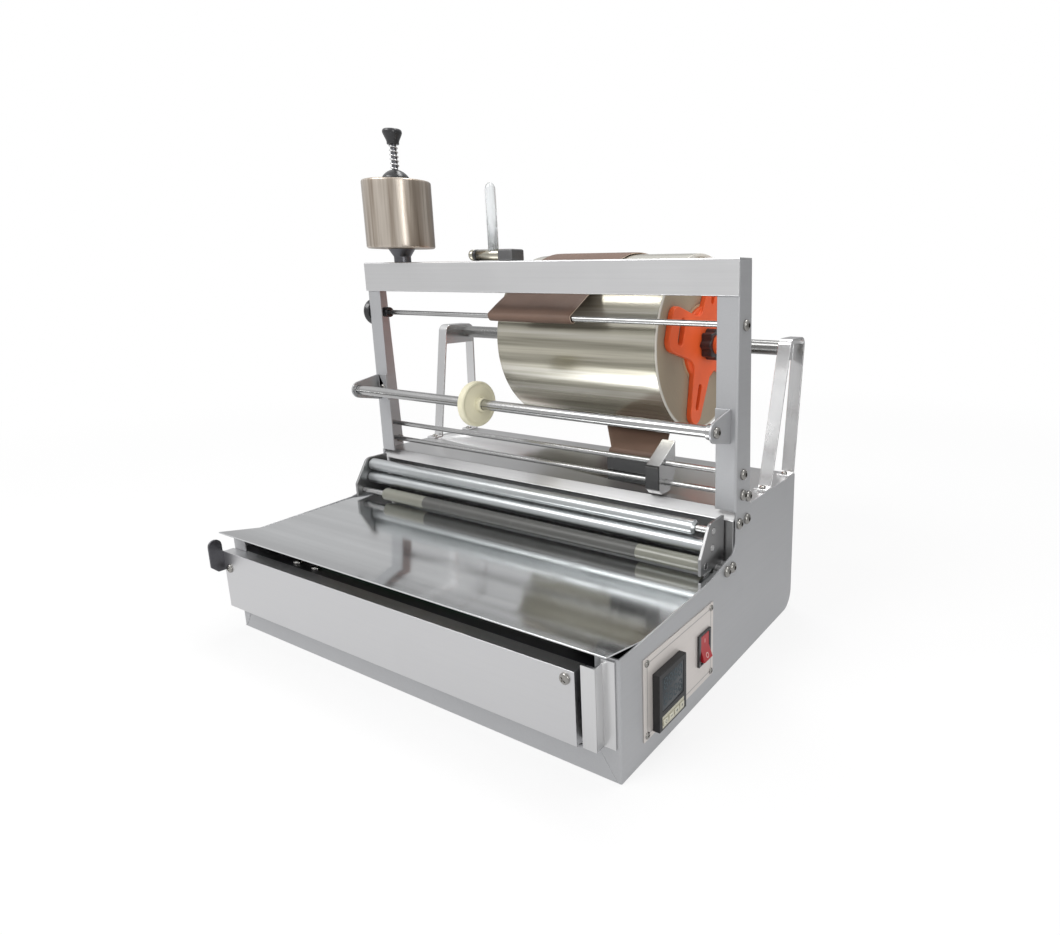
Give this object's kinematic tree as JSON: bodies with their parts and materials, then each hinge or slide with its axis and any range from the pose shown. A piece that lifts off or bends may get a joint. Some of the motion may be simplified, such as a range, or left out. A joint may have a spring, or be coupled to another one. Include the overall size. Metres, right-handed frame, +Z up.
{
  "type": "cellophane overwrapping machine",
  "caption": "Bench machine that overwraps boxes in film: heated work table, portal frame with guide rods and tear tape spool, feed rollers and a rear film roll with strap brake.",
  "frame": {"origin": "centre of the base's bottom face, on the surface that it stands on", "axes": "+X to the operator's right along the work table, +Y from the operator towards the film roll, +Z up"},
  "size_m": [0.4702, 0.4142, 0.4831],
  "materials": {
    "steel_sheet": "satin stainless sheet",
    "mirror_sheet": "polished stainless sheet",
    "deck_sheet": "fine brushed stainless sheet",
    "cover_sheet": "satin stainless sheet",
    "bright_strip": "bright bent strip",
    "dark_steel": "dark sheet steel",
    "bright_rod": "ground and polished rod",
    "roller_steel": "turned and polished roller",
    "screw_steel": "plated screws",
    "heater_alloy": "rolled plate",
    "insulation": "pressed fibre pad",
    "wire_jackets": "coloured wire insulation",
    "ivory_plastic": "moulded terminal block",
    "black_plastic": "moulded black plastic",
    "panel_plate": "satin plate",
    "key_plastic": "moulded keys",
    "red_plastic": "moulded red rocker",
    "nylon": "turned nylon",
    "core_card": "spiral wound tube",
    "film": "wound clear film",
    "tape": "wound metallic tape",
    "orange_plastic": "moulded orange plastic",
    "strap_leather": "brown strap leather",
    "spring_wire": "spring wire",
    "clear_plastic": "clear rod",
    "zinc_block": "cast block",
    "roller_rubber": "smooth rubber sleeve",
    "pale_sleeve": "pale rubber sleeve"
  },
  "bodies": {
    "root": {"right_side_panel": "steel_sheet", "left_side_panel": "steel_sheet", "base_tray": "steel_sheet", "rear_deck": "deck_sheet", "work_table": "mirror_sheet", "front_cover": "cover_sheet", "cover_screws": "screw_steel", "left_end_tab": "dark_steel", "right_end_bracket": "bright_strip", "inner_crossbar": "dark_steel", "heater_plate": "heater_alloy", "heater_insulation": "insulation", "heater_screws": "screw_steel", "heater_wires": "wire_jackets", "terminal_block": "ivory_plastic", "cable_gland": "black_plastic", "control_plate": "panel_plate", "plate_screws": "screw_steel", "temperature_controller": "black_plastic", "switch_bezel": "black_plastic", "header_beam": "steel_sheet", "frame_bolts": "screw_steel", "upper_guide_rod": "bright_rod", "rod_collar": "black_plastic", "front_rod": "bright_rod", "left_rod_arm": "steel_sheet", "right_rod_arm": "steel_sheet", "tail_guide_rods": "bright_rod", "left_roll_bracket": "bright_strip", "right_roll_bracket": "bright_strip", "roll_shaft": "bright_rod", "brake_strap": "strap_leather", "strap_weight": "bright_strip", "tape_spindle": "dark_steel", "spindle_spring": "spring_wire", "post_block": "zinc_block", "roller_axles": "bright_rod", "roller_cheeks": "bright_strip"},
    "film_roll": {"film_core": "core_card", "film_roll": "film", "left_chuck": "orange_plastic", "right_chuck": "orange_plastic"},
    "left_nut": {"left_hand_nut": "black_plastic"},
    "right_nut": {"right_hand_nut": "black_plastic"},
    "upper_roller": {"upper_roller": "roller_steel"},
    "middle_roller": {"middle_roller": "roller_steel"},
    "lower_roller": {"lower_roller": "roller_rubber", "roller_sleeves": "pale_sleeve"},
    "guide_wheel": {"guide_wheel": "nylon"},
    "tape": {"tape_core": "core_card", "tape_spool": "tape"},
    "cone": {"spindle_cone": "black_plastic"},
    "spindle_knob": {"spindle_knob": "black_plastic"},
    "guide_post": {"guide_post": "clear_plastic"},
    "rod_knob": {"rod_knob": "black_plastic"},
    "rocker": {"switch_rocker": "red_plastic"},
    "key_1": {"controller_key_1": "key_plastic"},
    "key_2": {"controller_key_2": "key_plastic"},
    "key_3": {"controller_key_3": "key_plastic"},
    "key_4": {"controller_key_4": "key_plastic"}
  },
  "joints": [
    {"name": "film_roll_spin", "type": "hinge", "parent": "root", "child": "film_roll", "pos_m": [0.025, 0.145, 0.268], "axis": [1, 0, 0], "continuous": true},
    {"name": "left_nut_turn", "type": "hinge", "parent": "film_roll", "child": "left_nut", "pos_m": [-0.085, 0.145, 0.268], "axis": [1, 0, 0], "continuous": true},
    {"name": "right_nut_turn", "type": "hinge", "parent": "film_roll", "child": "right_nut", "pos_m": [0.135, 0.145, 0.268], "axis": [1, 0, 0], "continuous": true},
    {"name": "upper_roller_spin", "type": "hinge", "parent": "root", "child": "upper_roller", "pos_m": [0, -0.005, 0.131], "axis": [1, 0, 0], "continuous": true},
    {"name": "middle_roller_spin", "type": "hinge", "parent": "root", "child": "middle_roller", "pos_m": [0, -0.007, 0.117], "axis": [1, 0, 0], "continuous": true},
    {"name": "lower_roller_spin", "type": "hinge", "parent": "root", "child": "lower_roller", "pos_m": [0, -0.018, 0.105], "axis": [1, 0, 0], "continuous": true},
    {"name": "guide_wheel_spin", "type": "hinge", "parent": "root", "child": "guide_wheel", "pos_m": [-0.041, -0.009, 0.215], "axis": [1, 0, 0], "continuous": true},
    {"name": "tape_spool_spin", "type": "hinge", "parent": "root", "child": "tape", "pos_m": [-0.177, 0.029, 0.398], "axis": [0, 0, 1], "continuous": true},
    {"name": "cone_lift", "type": "slide", "parent": "root", "child": "cone", "axis": [0, 0, 1], "range_m": [0, 0.008], "stiffness_N_per_m": 300, "springref_m": -0.005, "deforming": ["spindle_spring"]},
    {"name": "spindle_knob_turn", "type": "hinge", "parent": "root", "child": "spindle_knob", "pos_m": [-0.177, 0.029, 0.476], "axis": [0, 0, 1], "continuous": true},
    {"name": "guide_post_tilt", "type": "hinge", "parent": "root", "child": "guide_post", "pos_m": [-0.045, 0.029, 0.356], "axis": [1, 0, 0], "range_deg": [-60, 60]},
    {"name": "rod_knob_turn", "type": "hinge", "parent": "root", "child": "rod_knob", "pos_m": [-0.23, 0.03, 0.297], "axis": [1, 0, 0], "continuous": true},
    {"name": "rocker_press", "type": "hinge", "parent": "root", "child": "rocker", "pos_m": [0.2245, -0.041, 0.047], "axis": [0, 1, 0], "range_deg": [0, 20]},
    {"name": "key_1_press", "type": "slide", "parent": "root", "child": "key_1", "axis": [-1, 0, 0], "range_m": [0, 0.0008], "stiffness_N_per_m": 250, "springref_m": -0.0004},
    {"name": "key_2_press", "type": "slide", "parent": "root", "child": "key_2", "axis": [-1, 0, 0], "range_m": [0, 0.0008], "stiffness_N_per_m": 250, "springref_m": -0.0004},
    {"name": "key_3_press", "type": "slide", "parent": "root", "child": "key_3", "axis": [-1, 0, 0], "range_m": [0, 0.0008], "stiffness_N_per_m": 250, "springref_m": -0.0004},
    {"name": "key_4_press", "type": "slide", "parent": "root", "child": "key_4", "axis": [-1, 0, 0], "range_m": [0, 0.0008], "stiffness_N_per_m": 250, "springref_m": -0.0004}
  ],
  "couplings": [
    {"joint": "middle_roller_spin", "follows": "upper_roller_spin", "ratio": -1}
  ]
}
